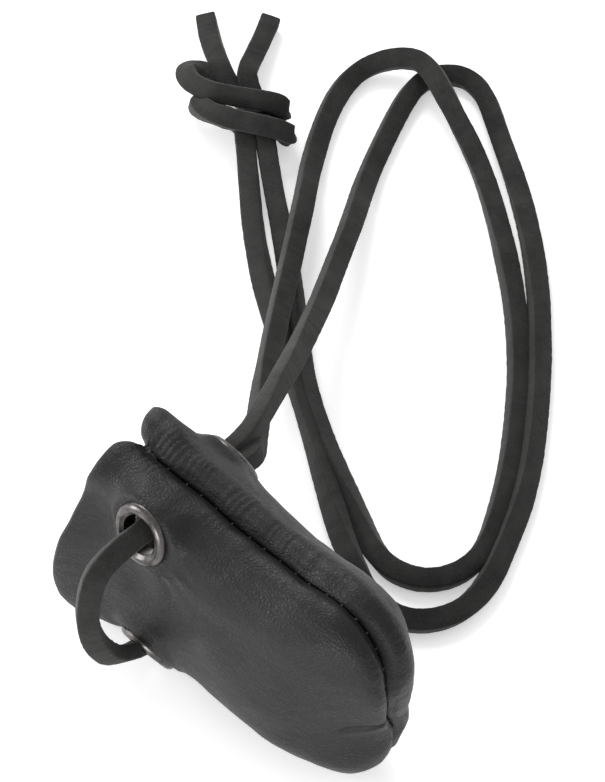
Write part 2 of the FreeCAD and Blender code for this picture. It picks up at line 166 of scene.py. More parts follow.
class Nodes:
    """A short way to write one material's nodes."""

    def __init__(self, name):
        self.material = bpy.data.materials.new(name)
        self.material.use_nodes = True
        self.tree = self.material.node_tree
        self.shader = self.tree.nodes["Principled BSDF"]
        self.where = self.new("ShaderNodeTexCoord").outputs["Object"]

    def new(self, kind, **settings):
        node = self.tree.nodes.new(kind)
        for key, value in settings.items():
            setattr(node, key, value)
        return node

    def link(self, a, b):
        self.tree.links.new(a, b)

    def stretched(self, scale, turn=(0, 0, 0)):
        node = self.new("ShaderNodeMapping")
        node.inputs["Scale"].default_value = scale
        node.inputs["Rotation"].default_value = turn
        self.link(self.where, node.inputs["Vector"])
        return node.outputs["Vector"]

    def noise(self, scale, detail=2.0, rough=0.5, where=None, distortion=0.0):
        node = self.new("ShaderNodeTexNoise")
        node.inputs["Scale"].default_value = scale
        node.inputs["Detail"].default_value = detail
        node.inputs["Roughness"].default_value = rough
        node.inputs["Distortion"].default_value = distortion
        self.link(where or self.where, node.inputs["Vector"])
        return node.outputs["Fac"]

    def cells(self, scale, where):
        """How far a point lies from the nearest edge between two cells."""
        node = self.new("ShaderNodeTexVoronoi", feature="DISTANCE_TO_EDGE")
        node.inputs["Scale"].default_value = scale
        self.link(where, node.inputs["Vector"])
        return node.outputs["Distance"]

    def ramp(self, value, low, high, to_low=0.0, to_high=1.0):
        node = self.new("ShaderNodeMapRange")
        for name, number in zip(
            ("From Min", "From Max", "To Min", "To Max"), (low, high, to_low, to_high)
        ):
            node.inputs[name].default_value = number
        self.link(value, node.inputs["Value"])
        return node.outputs["Result"]

    def math(self, operation, a, b):
        node = self.new("ShaderNodeMath", operation=operation)
        for socket, value in zip(node.inputs, (a, b)):
            if isinstance(value, (int, float)):
                socket.default_value = value
            else:
                self.link(value, socket)
        return node.outputs[0]

    def mix(self, factor, a, b):
        node = self.new("ShaderNodeMix", data_type="RGBA")
        self.link(factor, node.inputs["Factor"])
        for socket, value in ((node.inputs[6], a), (node.inputs[7], b)):
            if isinstance(value, tuple):
                socket.default_value = (*value, 1)
            else:
                self.link(value, socket)
        return node.outputs[2]

    def bump(self, height, distance, strength, under=None):
        node = self.new("ShaderNodeBump")
        node.inputs["Distance"].default_value = distance
        node.inputs["Strength"].default_value = strength
        self.link(height, node.inputs["Height"])
        if under is not None:
            self.link(under, node.inputs["Normal"])
        return node.outputs["Normal"]

    def finish(self, colour, rough, normal, **plain):
        self.link(colour, self.shader.inputs["Base Color"])
        self.link(rough, self.shader.inputs["Roughness"])
        self.link(normal, self.shader.inputs["Normal"])
        for name, value in plain.items():
            self.shader.inputs[name.replace("_", " ")].default_value = value
        return self.material


def leather_material():
    """Black full-grain leather: small pebbles, finer pores and soft creases along the bag."""
    n = Nodes("black_leather")
    warp = n.stretched((1.0, 1.35, 1.35), (0.0, 0.35, 0.6))
    pebbles = n.ramp(n.cells(1250, warp), 0.0, 0.32)
    along = n.stretched((0.55, 1.5, 1.5), (0.3, 0.5, 0.4))
    creases = n.ramp(n.noise(420, 4, 0.6, along, 0.6), 0.3, 0.7)
    pores = n.noise(5200, 2, 0.6)
    cloudy = n.noise(60, 3, 0.55)
    dark, light, groove_shade = (0.0045, 0.0048, 0.0045), (0.0080, 0.0082, 0.0078), (0.003, 0.003, 0.003)
    colour = n.mix(n.ramp(cloudy, 0.3, 0.7), dark, light)
    # painted shade: the third colour darkens the grooves between the pebbles and the creases
    colour = n.mix(n.ramp(n.math("MULTIPLY", pebbles, creases), 0.0, 0.6), groove_shade, colour)
    worn = n.math("ADD", n.math("MULTIPLY", pebbles, 0.6), n.math("MULTIPLY", cloudy, 0.6))
    rough = n.ramp(worn, 0.2, 1.1, 0.58, 0.40)
    normal = n.bump(creases, 0.00016, 0.6)
    normal = n.bump(pebbles, 0.00008, 0.55, normal)
    normal = n.bump(pores, 0.00002, 0.6, normal)
    return n.finish(colour, rough, normal, Specular_IOR_Level=0.34)


def suede_material(name, dark, light, fuzz, sheen):
    """Brushed leather fibres, as on the lace, the cut edges and the flesh side."""
    n = Nodes(name)
    patches = n.noise(170, 3, 0.6)
    nap = n.noise(2600, 3, 0.7)
    fibre = n.noise(7000, 2, 0.7)
    shade = n.math("ADD", n.math("MULTIPLY", patches, 0.5), n.math("MULTIPLY", nap, 0.5))
    colour = n.mix(n.ramp(shade, 0.32, 0.68), dark, light)
    rough = n.ramp(nap, 0.2, 0.8, 0.82, 0.96)
    normal = n.bump(nap, fuzz, 0.8)
    normal = n.bump(fibre, fuzz * 0.4, 0.7, normal)
    return n.finish(
        colour, rough, normal,
        Sheen_Weight=sheen, Sheen_Roughness=0.5, Sheen_Tint=(0.75, 0.74, 0.72, 1),
        Specular_IOR_Level=0.2,
    )


def eyelet_material():
    """Dark antique nickel, worn brighter in patches, with fine turning marks."""
    n = Nodes("antique_nickel")
    wear = n.noise(420, 3, 0.6)
    marks = n.noise(3800, 3, 0.6, n.stretched((1.0, 0.25, 1.0)))
    colour = n.mix(n.ramp(wear, 0.35, 0.65), (0.065, 0.062, 0.062), (0.15, 0.139, 0.135))
    dull = n.math("ADD", n.math("MULTIPLY", wear, 0.6), n.math("MULTIPLY", marks, 0.4))
    rough = n.ramp(dull, 0.2, 0.8, 0.24, 0.42)
    normal = n.bump(marks, 0.00002, 0.5)
    return n.finish(colour, rough, normal, Metallic=1.0)


def thread_material():
    """Waxed black sewing thread with its twist."""
    n = Nodes("black_thread")
    twist = n.noise(2600, 2, 0.5, n.stretched((3.0, 0.7, 3.0), (0.4, 0.3, 0.2)))
    colour = n.mix(n.ramp(twist, 0.3, 0.7), (0.012, 0.012, 0.012), (0.035, 0.034, 0.033))
    return n.finish(colour, n.ramp(twist, 0.2, 0.8, 0.5, 0.7), n.bump(twist, 0.00008, 0.8))


# ---------------------------------------------------------------- lace
def route_line(name, route):
    """The points along the smooth spline of a route, in metres."""
    data = bpy.data.curves.new(name, "CURVE")
    data.dimensions = "3D"
    spline = data.splines.new("NURBS")
    spline.points.add(len(route) - 1)
    for point, place in zip(spline.points, route):
        point.co = (*(c * MM for c in place), 1)
    spline.order_u = 3
    spline.use_endpoint_u = True
    spline.resolution_u = 24
    data.resolution_u = 24
    carrier = bpy.data.objects.new(name, data)
    mesh = bpy.data.meshes.new_from_object(carrier)
    line = np.array([v.co for v in mesh.vertices], float)
    bpy.data.meshes.remove(mesh)
    bpy.data.objects.remove(carrier)
    bpy.data.curves.remove(data)
    return line


def even(line, step):
    """The same line with points about one step apart, and how far along each lies."""
    along = np.concatenate([[0], np.cumsum(np.linalg.norm(np.diff(line, axis=0), axis=1))])
    at = np.linspace(0, along[-1], max(3, round(along[-1] / step) + 1))
    return np.stack([np.interp(at, along, line[:, k]) for k in range(3)], 1), at


def unit(a):
    return a / np.maximum(np.linalg.norm(a, axis=-1, keepdims=True), 1e-12)


def running_mean(values, width):
    """The mean of each value and its neighbours, an odd number of them in all."""
    padded = np.pad(values, width // 2, mode="edge")
    return np.convolve(padded, np.ones(width) / width, "valid")


def lace_section():
    """The corners of the lace's rounded rectangle, as pairs across its width and thickness."""
    half_w, half_t = LACE_WIDTH / 2, LACE_THICK / 2
    ring = []
    for cx, cy, start in ((1, 1, 0), (-1, 1, 90), (-1, -1, 180), (1, -1, 270)):
        for turn in (0, 45, 90):
            angle = math.radians(start + turn)
            ring.append(
                (
                    cx * (half_w - LACE_CORNER) + LACE_CORNER * math.cos(angle),
                    cy * (half_t - LACE_CORNER) + LACE_CORNER * math.sin(angle),
                )
            )
        if cx == cy:  # along the wide face
            ring.append((0.0, cy * half_t * LACE_BOW))
    return ring


def section_ups(ahead, hangs):
    """The section's up along a line, carried without twisting and drawn towards lying flat."""
    up = np.zeros_like(ahead)
    first = np.array((0.0, 0.0, 1.0)) if abs(ahead[0][2]) < 0.9 else np.array((0.0, 1.0, 0.0))
    if hangs:
        first = np.array((1.0, 0.0, 0.0))
    for i, way in enumerate(ahead):
        flat = np.array((0.0, 0.0, 1.0)) - way * way[2]
        weight = 0.0 if hangs else min(1.0, np.linalg.norm(flat) * 1.6)
        carried = first - way * (first @ way)
        guide = unit(flat) if np.linalg.norm(flat) > 1e-6 else carried
        if guide @ carried < 0 and weight < 0.8:
            guide = carried
        first = unit(carried * (1 - 0.25 * weight) + guide * 0.25 * weight)
        up[i] = first
    return up


def make_lace(name, route, turns, materials, step=0.55, seed=0, hangs=False):
    """A flat lace along a route.

    turns gives its twist about the line, in degrees from lying flat, at points spread evenly
    from its start to its end. A lace that hangs keeps its own frame, with no pull to the floor.
    """
    line, at = even(route_line(name, route), step * MM)
    ahead = unit(np.gradient(line, axis=0))
    up = section_ups(ahead, hangs)
    side = unit(np.cross(ahead, up))
    share = at / at[-1]
    places = np.linspace(0, 1, len(turns))
    twist = np.radians(np.interp(share, places, turns))
    twist = running_mean(twist, 15)
    ring = lace_section()
    count = len(ring)
    verts = []
    for i, centre in enumerate(line):
        c, s = math.cos(twist[i]), math.sin(twist[i])
        across, out = side[i] * c + up[i] * s, up[i] * c - side[i] * s
        probe = Vector((at[i] * 90 + seed * 7.3, seed * 3.1, 0.5))
        wide = 1 + 0.05 * noise.noise(probe)
        thick = 1 + 0.07 * noise.noise(probe * 1.7 + Vector((5, 1, 2)))
        for j, (w, t) in enumerate(ring):
            rough = 0.06 * noise.noise(Vector((at[i] * 900, j * 2.1, seed * 5.0)))
            corner = centre + (across * w * (wide + rough * 0.5) + out * t * (thick + rough)) * MM
            corner[2] = max(corner[2], FLOOR_GAP * MM)
            verts.append(corner)
    faces, slots = [], []
    for i in range(len(line) - 1):
        for j in range(count):
            k = (j + 1) % count
            faces.append((i * count + j, i * count + k, (i + 1) * count + k, (i + 1) * count + j))
            middle = abs(ring[j][0] + ring[k][0]) / 2
            slots.append(1 if middle > LACE_WIDTH / 2 - CUT_BAND else 0)
    for i in (0, len(line) - 1):
        centre = len(verts)
        verts.append(line[i] + ahead[i] * (END_BOW * MM if i else -END_BOW * MM))
        for j in range(count):
            k = (j + 1) % count
            a, b = i * count + j, i * count + k
            faces.append((centre, b, a) if i == 0 else (centre, a, b))
            slots.append(1)
    mesh = bpy.data.meshes.new(name)
    mesh.from_pydata([tuple(v) for v in verts], [], faces)
    for material in materials:
        mesh.materials.append(material)
    mesh.polygons.foreach_set("material_index", slots)
    mesh.polygons.foreach_set("use_smooth", [True] * len(mesh.polygons))
    mesh.update()
    lace = bpy.data.objects.new(name, mesh)
    scene.collection.objects.link(lace)
    mesh.set_sharp_from_angle(angle=math.radians(50))
    return lace, line


def declare_cord(lace, nodes):
    """Attach one free length of the lace to the drawstring body, and hide the CAD nodes it stands for.
    """
    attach(lace, "drawstring")
    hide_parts(*nodes)


def local_knot(points):
    """Knot points given as right, up along the tails and height, about the knot's middle."""
    middle = (-110.5, 98.0)
    right, along = (0.695, 0.719), (-0.719, 0.695)
    return [
        (
            middle[0] + right[0] * b + along[0] * a,
            middle[1] + right[1] * b + along[1] * a,
            c,
        )
        for b, a, c in points
    ]


def make_drawstring():
    """The lace: two strands and the bight as free lengths, and the knot of both ends."""
    suede = suede_material(
        "black_nubuck", (0.009, 0.0095, 0.0088), (0.035, 0.0356, 0.0340), 0.00014, 0.10
    )
    # the cut faces are lighter partly for their raw fibres and partly as a painted highlight on the
    # narrow faces that catch the light
    cut = suede_material(
        "nubuck_cut_edge_and_highlight", (0.019, 0.0193, 0.0186), (0.052, 0.0522, 0.0505), 0.00014, 0.12
    )
    skins = (suede, cut)
    strand_1, line_1 = make_lace(
        "lace_strand_1", STRAND_1,
        (90, 90, 120, 150, 150, 150, 150, 148, 150, 175, 200, 208, 208, 204, 195, 240, 258, 220,
         190, 180), skins, seed=1,
    )
    strand_2, line_2 = make_lace(
        "lace_strand_2", STRAND_2,
        (90, 90, 115, 138, 142, 145, 150, 155, 165, 190, 208, 216, 214, 208, 195, 240, 260, 225,
         190, 180), skins, seed=2,
    )
    bight, line_b = make_lace(
        "lace_bight", BIGHT, (90, 94, 110, 120, 120, 110, 96, 90), skins, 0.4, seed=3, hangs=True
    )
    knot_1, _ = make_lace(
        "knot_lace_1",
        local_knot((
            (5.4, -6.8, 5), (4.2, -3, 4), (2.5, 2, 3.5), (-1, 6.0, 3.2), (-5.5, 9.6, 3.8),
            (-9.0, 10.0, 5), (-11.4, 8, 6.6), (-10.4, 3.8, 7.8), (-7, 0.4, 8.6), (-1.2, -1.8, 9),
            (4.6, -2.6, 8.7), (8.4, -2.6, 7.6), (9.6, -2.4, 5), (8, -0.8, 2.9), (3, 1.8, 2.4),
            (-1.5, 5, 3.6), (-3.2, 9, 5), (-4.7, 14, 4.2), (-6.5, 21.5, 2.8), (-7.4, 28.6, 2.1),
        )),
        (0, 10, 20, 10, 0, -20, -40, -45, -45, -45, -45, -30, 0, 0, 0, 20, 20, 20, 15, 10),
        skins, 0.4, seed=4,
    )
    knot_2, _ = make_lace(
        "knot_lace_2",
        local_knot((
            (1.1, -6.9, 5), (0.2, -4.4, 4.2), (-2.5, -2.6, 3.2), (-5.6, -1.2, 3.8), (-8.2, -1, 5.6),
            (-8.2, -3.2, 7.2), (-4.8, -6.4, 8.2), (-0.4, -8.3, 8.6), (5.2, -9.6, 8.3), (9.2, -9.9, 7.2),
            (10.8, -9.4, 4.8), (9, -6.8, 2.6), (5.5, -2.8, 2), (3.5, 2.5, 2.6), (2, 6, 4.4),
            (1.6, 9, 5.2), (2.8, 14, 4.2), (4.6, 20.5, 3), (6.5, 27.8, 2.2),
        )),
        (0, 0, 0, -10, -20, -40, -45, -45, -45, -40, -20, 0, 0, 0, 0, -20, -20, -20, -15, -10),
        skins, 0.4, seed=5,
    )
    for piece, nodes in (
        (knot_1, ("drawstring_knot", "drawstring_tail_1")),
        (knot_2, ("drawstring_tail_2",)),
    ):
        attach(piece, "drawstring")
        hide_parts(*nodes)
    declare_cord(strand_1, ["drawstring_strand_1"])
    declare_cord(strand_2, ["drawstring_strand_2"])
    declare_cord(bight, ["drawstring_bight"])


# ---------------------------------------------------------------- leather panels
# station, front depth, back depth, middle height, half height, front and back corner radius
SECTIONS = (
    (-36.5, 17.6, 17.0, 23.0, 23.0, 10.0, 12.0), (-31.0, 15.5, 16.8, 23.2, 22.4, 9.0, 12.5),
    (-25.0, 13.4, 16.4, 23.4, 22.2, 7.8, 14.6), (-18.5, 12.6, 15.4, 23.5, 21.9, 7.0, 14.4),
    (-9.0, 13.4, 13.2, 23.5, 21.4, 10.0, 12.4), (0.0, 14.4, 12.5, 23.5, 21.2, 12.0, 11.8),
    (9.0, 14.4, 12.2, 23.7, 21.6, 12.5, 11.6), (17.0, 13.2, 12.0, 24.2, 22.4, 12.0, 11.4),
    (24.0, 10.8, 11.0, 24.6, 21.9, 10.0, 10.6), (29.5, 7.8, 8.4, 24.6, 19.4, 7.2, 7.9),
    (33.2, 4.6, 5.4, 24.4, 15.2, 4.2, 5.0), (35.3, 1.5, 1.9, 24.2, 9.8, 1.3, 1.7),
    (35.9, 0.02, 0.02, 24.1, 6.8, 0.01, 0.01),
)
# how far along the panel from the upper seam to the lower one, and the rim's station there
FRONT_RIM = (
    (0.0, -32.0), (0.03, -32.9), (0.07, -34.0), (0.13, -33.6), (0.20, -33.2), (0.29, -34.4),
    (0.37, -35.4), (0.45, -36.3), (0.56, -37.4), (0.65, -37.5), (0.71, -36.8), (0.78, -35.0),
    (0.88, -33.4), (1.0, -32.0),
)
BACK_RIM = (
    (0.0, -32.1), (0.03, -34.2), (0.06, -35.6), (0.10, -36.5), (0.16, -36.6), (0.22, -36.2),
    (0.28, -35.2), (0.34, -34.2), (0.42, -33.8), (0.52, -34.6), (0.66, -36.0), (0.80, -36.2),
    (0.92, -35.0), (1.0, -32.0),
)
COLLAR_FROM = -20.0  # the station where the collar starts
EYELETS = (
    # place of the eyelet's outer leather face, its tilt in degrees, which side, puff above it
    ((-18.3, -12.4, 40.5), 14.0, -1, 0.0),
    ((-18.3, -12.1, 6.15), -28.0, -1, -0.1),
    ((-25.0, 16.0, 31.2), 18.0, 1, 0.0),
)


def smooth(low, high, value):
    """A soft step from 0 at low to 1 at high."""
    t = np.clip((value - low) / (high - low), 0, 1)
    return t * t * (3 - 2 * t)


def hump(value, middle, wide):
    """A bell that is 1 at its middle."""
    return np.exp(-(((value - middle) / wide) ** 2))


def through(rows, per=40):
    """A smooth line through the rows of a table."""
    rows = np.array(rows, float)
    padded = np.vstack([2 * rows[0] - rows[1], rows, 2 * rows[-1] - rows[-2]])
    t = np.linspace(0, 1, per, endpoint=False)[:, None]
    out = []
    for i in range(len(rows) - 1):
        a, b, c, d = padded[i:i + 4]
        out.append(
            0.5 * (2 * b + (c - a) * t + (2 * a - 5 * b + 4 * c - d) * t**2
                   + (3 * b - a - 3 * c + d) * t**3)
        )
    return np.vstack([*out, rows[-1:]])


def noise_at(points, scale, seed=0.0, stretch=(1.0, 1.0, 1.0), octaves=1):
    """Smooth noise at points in mm; scale is its wavelength in mm."""
    offset = Vector((seed * 13.7, seed * 5.1, seed * 9.3))
    values = np.empty(len(points))
    factor = np.array(stretch) / scale
    for i, p in enumerate(points * factor):
        at = Vector(p) + offset
        values[i] = noise.fractal(at, 1.0, 2.0, octaves) if octaves > 1 else noise.noise(at)
    return values


def line_noise(at, scale, seed):
    """Smooth noise along a line; scale is its wavelength in mm."""
    return np.array([noise.noise(Vector((a / scale, seed * 3.7, seed * 1.9))) for a in at])


def section(row, side, share):
    """Points round one panel at one station, from the upper seam to the lower one."""
    depth, radius = (row[1], row[5]) if side < 0 else (row[2], row[6])
    top, bottom = row[3] + row[4], row[3] - row[4]
    flat, bend = max(depth - radius, 0), math.pi / 2 * radius
    down = max(top - bottom - 2 * radius, 0)
    total = 2 * flat + 2 * bend + down
    along = share * total
    mirrored = along > total / 2
    s = np.where(mirrored, total - along, along)
    angle = np.clip((s - flat) / max(radius, 1e-6), 0, math.pi / 2)
    out = np.where(s < flat, s, flat + radius * np.sin(angle))
    drop = radius * (1 - np.cos(angle)) + np.maximum(s - flat - bend, 0)
    up = np.where(mirrored, bottom + drop, top - drop)
    return np.stack([np.full_like(out, row[0]), side * out, up], 1)


def grid_normals(grid, side):
    """Outward normals of a grid of points."""
    du = np.gradient(grid, axis=0)
    dv = np.gradient(grid, axis=1)
    return unit(np.cross(dv, du) * -side)


def panel_rows():
    """Sections spaced closely, more so at the closed end."""
    fine = through(SECTIONS)
    steps = np.linalg.norm(np.diff(fine[:, [0, 1, 4]], axis=0), axis=1)
    along = np.concatenate([[0], np.cumsum(steps)])
    gap = np.interp(along, [0, along[-1] - 7, along[-1] - 2.5, along[-1]], [0.40, 0.40, 0.2, 0.17])
    count = np.concatenate([[0], np.cumsum(steps / (0.5 * (gap[1:] + gap[:-1])))])
    wanted = np.linspace(0, count[-1], round(count[-1]) + 1)
    return np.stack([np.interp(wanted, count, fine[:, k]) for k in range(7)], 1)


def panel_shares():
    """Where the grid's lines run between the two seams, closer together beside them."""
    places, sizes = [0, 0.09, 0.22, 0.78, 0.91, 1], [0.14, 0.26, 0.66, 0.66, 0.26, 0.14]
    gaps = np.interp(np.linspace(0, 1, 132), places, sizes)
    at = np.concatenate([[0], np.cumsum(gaps)])
    return at / at[-1]


def relax(grid, passes):
    """Soften a grid from seam to seam."""
    for _ in range(passes):
        grid[:, 1:-1] = grid[:, 1:-1] * 0.5 + (grid[:, 2:] + grid[:, :-2]) * 0.25


def collar(grid, side, share):
    """Give the mouth its uneven rim, its flare and, at the back, its rolled lip."""
    soft = through(FRONT_RIM if side < 0 else BACK_RIM)
    rim = np.interp(share, soft[:, 0], soft[:, 1])
    x, y, z = (grid[..., k].copy() for k in range(3))
    stretch = (COLLAR_FROM - rim[None, :]) / (COLLAR_FROM - SECTIONS[0][0])
    near = x < COLLAR_FROM
    grid[..., 0] = np.where(near, COLLAR_FROM + (x - COLLAR_FROM) * stretch, x)
    past = smooth(-21, -36, x)
    from_rim = grid[..., 0] - rim[None, :]
    turn = np.clip(1 - from_rim / (2.2 if side < 0 else 3.2), 0, 1)
    curl = 1 - np.sqrt(np.clip(1 - turn**2, 0, 1))
    curl *= 0.7 if side < 0 else 0.7 + 1.4 * smooth(24, 36, z)
    if side < 0:
        dent = hump(z, 37.5, 6.5) * smooth(0, 8, -y)
        grid[..., 1] += 5.0 * past * dent
        grid[..., 1] -= 1.3 * smooth(-27, -37, x) * hump(z, 15, 9)
        fold = hump(z - 0.35 * (x + 30), 33.0, 1.7) * smooth(-24, -33, x)
        grid[..., 1] += 0.9 * fold
    else:
        # a long fold stands along the top, with a narrow crinkled slope behind it
        slope = smooth(8.2, 9.6, y) * smooth(28, 40, z)
        grid[..., 1] -= 0.6 * past * slope
        grid[..., 2] -= 1.1 * past * smooth(8.8, 11, y) * smooth(30, 42, z)
        grid[..., 2] += 2.5 * past * hump(y, 6.4, 3.4) * smooth(30, 42, z)
        # the lower half is gathered into one inward pleat
        grid[..., 1] *= 1 - 0.96 * smooth(-3, 5, z) * smooth(26, 18.5, z) * smooth(-24, -34, x)
        # behind the fold the slope falls steeply towards the floor
        cut = np.interp(y, [8.5, 12, 14, 15, 16.5, 17.5], [46.0, 38.8, 33.5, 31.0, 28.8, 27.0])
        beyond = smooth(-26.5, -31.5, x) * smooth(26, 31, z)
        grid[..., 2] += (np.minimum(grid[..., 2], cut) - grid[..., 2]) * beyond
    return grid, curl


def near_seam(grid):
    """The seam line round three edges of a grid, as points, their run and outward ways."""
    chain = np.vstack([grid[:, 0], grid[-1, 1:-1], grid[::-1, -1]])
    run = np.concatenate([[0], np.cumsum(np.linalg.norm(np.diff(chain, axis=0), axis=1))])
    ahead = np.gradient(chain, axis=0)
    ahead = np.stack([running_mean(ahead[:, k], 9) for k in range(3)], 1)
    out = unit(np.stack([-ahead[:, 2], np.zeros(len(ahead)), ahead[:, 0]], 1))
    return chain, run, out


def seam_depth(x, upper):
    """How deep the seam lies below the leather on both sides of it."""
    stations, depths = [-37, -31, -20, 10, 19, 25, 31, 36], [1.8, 2.4, 3.2, 3.0, 2.2, 2.2, 2.8, 2.6]
    above = np.interp(x, stations, depths)
    below = np.interp(x, [-37, -20, 10, 25, 36], [1.4, 1.7, 1.5, 1.8, 2.6])
    return np.where(upper, above, below)


def seam_wander(run):
    """How far the seam strays to either side along its run."""
    return 0.55 * line_noise(run, 8.0, 5)


def lips(points, normals, side, chain, run, out):
    """Turn the edges in to the seam: a narrow valley with puckers on both sides of it."""
    tree = KDTree(len(chain))
    for i, p in enumerate(chain):
        tree.insert(Vector(p), i)
    tree.balance()
    found = [tree.find(Vector(p)) for p in points]
    index = np.array([f[1] for f in found])
    away = np.array([f[2] for f in found])
    at = run[index]
    x, upper = chain[index][:, 0], chain[index][:, 2] > 24
    depth = seam_depth(x, upper)
    wide = 3.3 if side < 0 else 4.2
    t = np.clip(away / wide, 0, 1)
    valley = 1 - np.sqrt(np.clip(1 - (1 - t) ** 2, 0, 1))
    blend = smooth(0.0, 2.4, away)[:, None]
    way = unit(out[index] * (1 - blend) + normals * blend)
    ripple = line_noise(run, 6.5, 1)[index]
    uneven = 2.2 * line_noise(run, 6.0, 2)[index] + 0.16 * away * ripple
    pucker_line = 2 * math.pi * (at / 1.9 + uneven)
    strength = np.clip(0.60 + 0.95 * line_noise(run, 4.5, 3)[index], 0.08, 1.3)
    deep = (0.20 if side < 0 else 0.26) * (1 - 0.55 * smooth(0, 24, x))
    reach = 3.4 if side < 0 else 4.8
    crease = (0.5 + 0.5 * np.cos(pucker_line)) ** 1.6
    pucker = deep * strength * crease * smooth(0.2, 1.2, away) * hump(away, 0, reach)
    big = 0.40 * line_noise(run, 4.3, 4)[index] * hump(away, 0, 4.5) * smooth(0.0, 1.5, away)
    lift = (0.35 if side < 0 else 0.75) * hump(away, 4.6, 2.6)
    moved = points + way * (-depth * valley - pucker + big + lift)[:, None]
    wander = seam_wander(run)[index]
    moved[:, 1] += wander * hump(away, 0, 3.0)
    gap = np.clip(0.42 + 0.5 * line_noise(run, 5.0, 7)[index], 0.12, 0.8)
    moved[:, 1] += side * gap * smooth(0.0, 0.8, away) * hump(away, 0, 2.0)
    edge = away < 1e-6
    moved[edge, 1] = wander[edge] + side * 0.04
    return moved, away


def lean(points):
    """Draw the closed end round at its lower corner, and lead its seam over to the back there."""
    x, y, z = points.T
    low = hump(z, 18, 9) * smooth(13, 33, x)
    back = smooth(20, 10, z) * smooth(18, 32, x) * smooth(0, 4, y)
    points[:, 0] = x - 2.6 * low - 1.8 * back
    aside = 2.9 * smooth(26, 15, z) - 1.5 * hump(z, 32, 6)
    points[:, 1] = y + aside * smooth(24, 33, x) * hump(y, 0, 6)
    return points


def hollows(points, normals, side, away):
    """Soft folds and hollows of the hanging leather, away from the seam."""
    x, z = points[:, 0], points[:, 2]
    free = smooth(2.0, 7.0, away)
    move = 0.55 * noise_at(points, 17, 1 + side) * free
    move += 0.20 * noise_at(points, 6.5, 3 + side, (0.8, 1, 1)) * free
    slant = np.stack([x * 0.8 + z * 0.6, points[:, 1], z * 0.8 - x * 0.6], 1)
    move += 0.085 * noise_at(slant, 2.3, 6 + side, (0.30, 1.0, 1.0), 2) * smooth(1.0, 4.0, away)
    if side < 0:
        # a long hollow below the seam, another towards the bottom, and folds from the upper eyelet
        move -= 0.95 * np.exp(-(((x - 3) / 15) ** 2) - ((z - 35 - 0.10 * (x - 3)) / 4.2) ** 2)
        move -= 0.8 * np.exp(-(((x + 9) / 5) ** 2) - ((z - 28) / 7) ** 2)
        move += 0.5 * np.exp(-(((x - 12) / 12) ** 2) - ((z - 21) / 7) ** 2)
        for angle, deep in ((-8, 0.42), (-32, 0.32), (-58, 0.36), (22, 0.25)):
            a = math.radians(angle)
            along = (x + 18.5) * math.cos(a) + (z - 40.5) * math.sin(a)
            across = -(x + 18.5) * math.sin(a) + (z - 40.5) * math.cos(a)
            across += 0.5 * np.sin(along / 3.0 + angle)
            fold = hump(across, 0, 0.8 + 0.05 * np.clip(along, 0, 20))
            move -= deep * fold * smooth(6.5, 8.5, along) * smooth(19, 10, along) * free
        # the crease that runs in from the closed end's seam
        along = (35.5 - x) * 0.80 + (24.5 - z) * 0.60
        across = (35.5 - x) * -0.60 + (24.5 - z) * 0.80 + 0.9 * np.sin(along / 4.2)
        stretch = smooth(-0.5, 1.2, along) * smooth(8.5, 3.0, along)
        move += (0.30 * hump(across, 1.6, 1.0) - 0.75 * hump(across, 0, 0.55)) * stretch
    else:
        move -= 0.9 * np.exp(-(((x - 2) / 12) ** 2) - ((z - 26) / 9) ** 2)
        move += 0.5 * np.exp(-(((x - 14) / 8) ** 2) - ((z - 18) / 8) ** 2)
        for angle, deep in ((-5, 0.45), (-40, 0.4), (-85, 0.3), (30, 0.3)):
            a = math.radians(angle)
            along = (x + 25) * math.cos(a) + (z - 32.5) * math.sin(a)
            across = -(x + 25) * math.sin(a) + (z - 32.5) * math.cos(a)
            fold = hump(across + 0.5 * np.sin(along / 3), 0, 1.0)
            move -= deep * fold * smooth(6.5, 9, along) * smooth(22, 11, along) * free
        slope = hump(points[:, 1], 12, 2.5) * smooth(-22, -27, x) * smooth(28, 36, z)
        move += 0.22 * noise_at(points, 1.7, 9, (0.9, 0.5, 0.5)) * slope
    return points + normals * move[:, None]


def settle(points):
    """The underside rests on the floor and flattens a little there."""
    x, y, z = points.T
    under = smooth(9, 2, z) * hump(y, 1, 9)
    reach = np.interp(x, [-38, -31, -12, 4, 24, 30, 36], [0.0, 0.5, 1.9, 2.2, 2.0, 1.0, 0.0])
    z = z - reach * under
    low, soft = 0.25, 1.2  # the lowest leather, and the height over which it flattens
    pressed = low + soft * np.exp(np.minimum((z - low - soft) / soft, 0))
    points[:, 2] = np.where(z < low + soft, pressed, z)
    return points


def shoulders(points, side):
    """The front panel stands square at its eyelets, and the back one sinks above its own."""
    x, y, z = points.T
    if side < 0:
        by = hump(x, -18.3, 8.5) * hump(y, -10.5, 4.5)
        points[:, 2] = z + 1.7 * by * smooth(38, 43, z) - 0.9 * by * smooth(9, 4, z)
        points[:, 1] = y - 0.5 * hump(x, -19, 9) * hump(z, 16, 6) * smooth(4, 9, -y)
    else:
        points[:, 2] = z - 2.2 * hump(x, -23, 8) * hump(y, 11.5, 3.0) * smooth(30, 36, z)
    return points


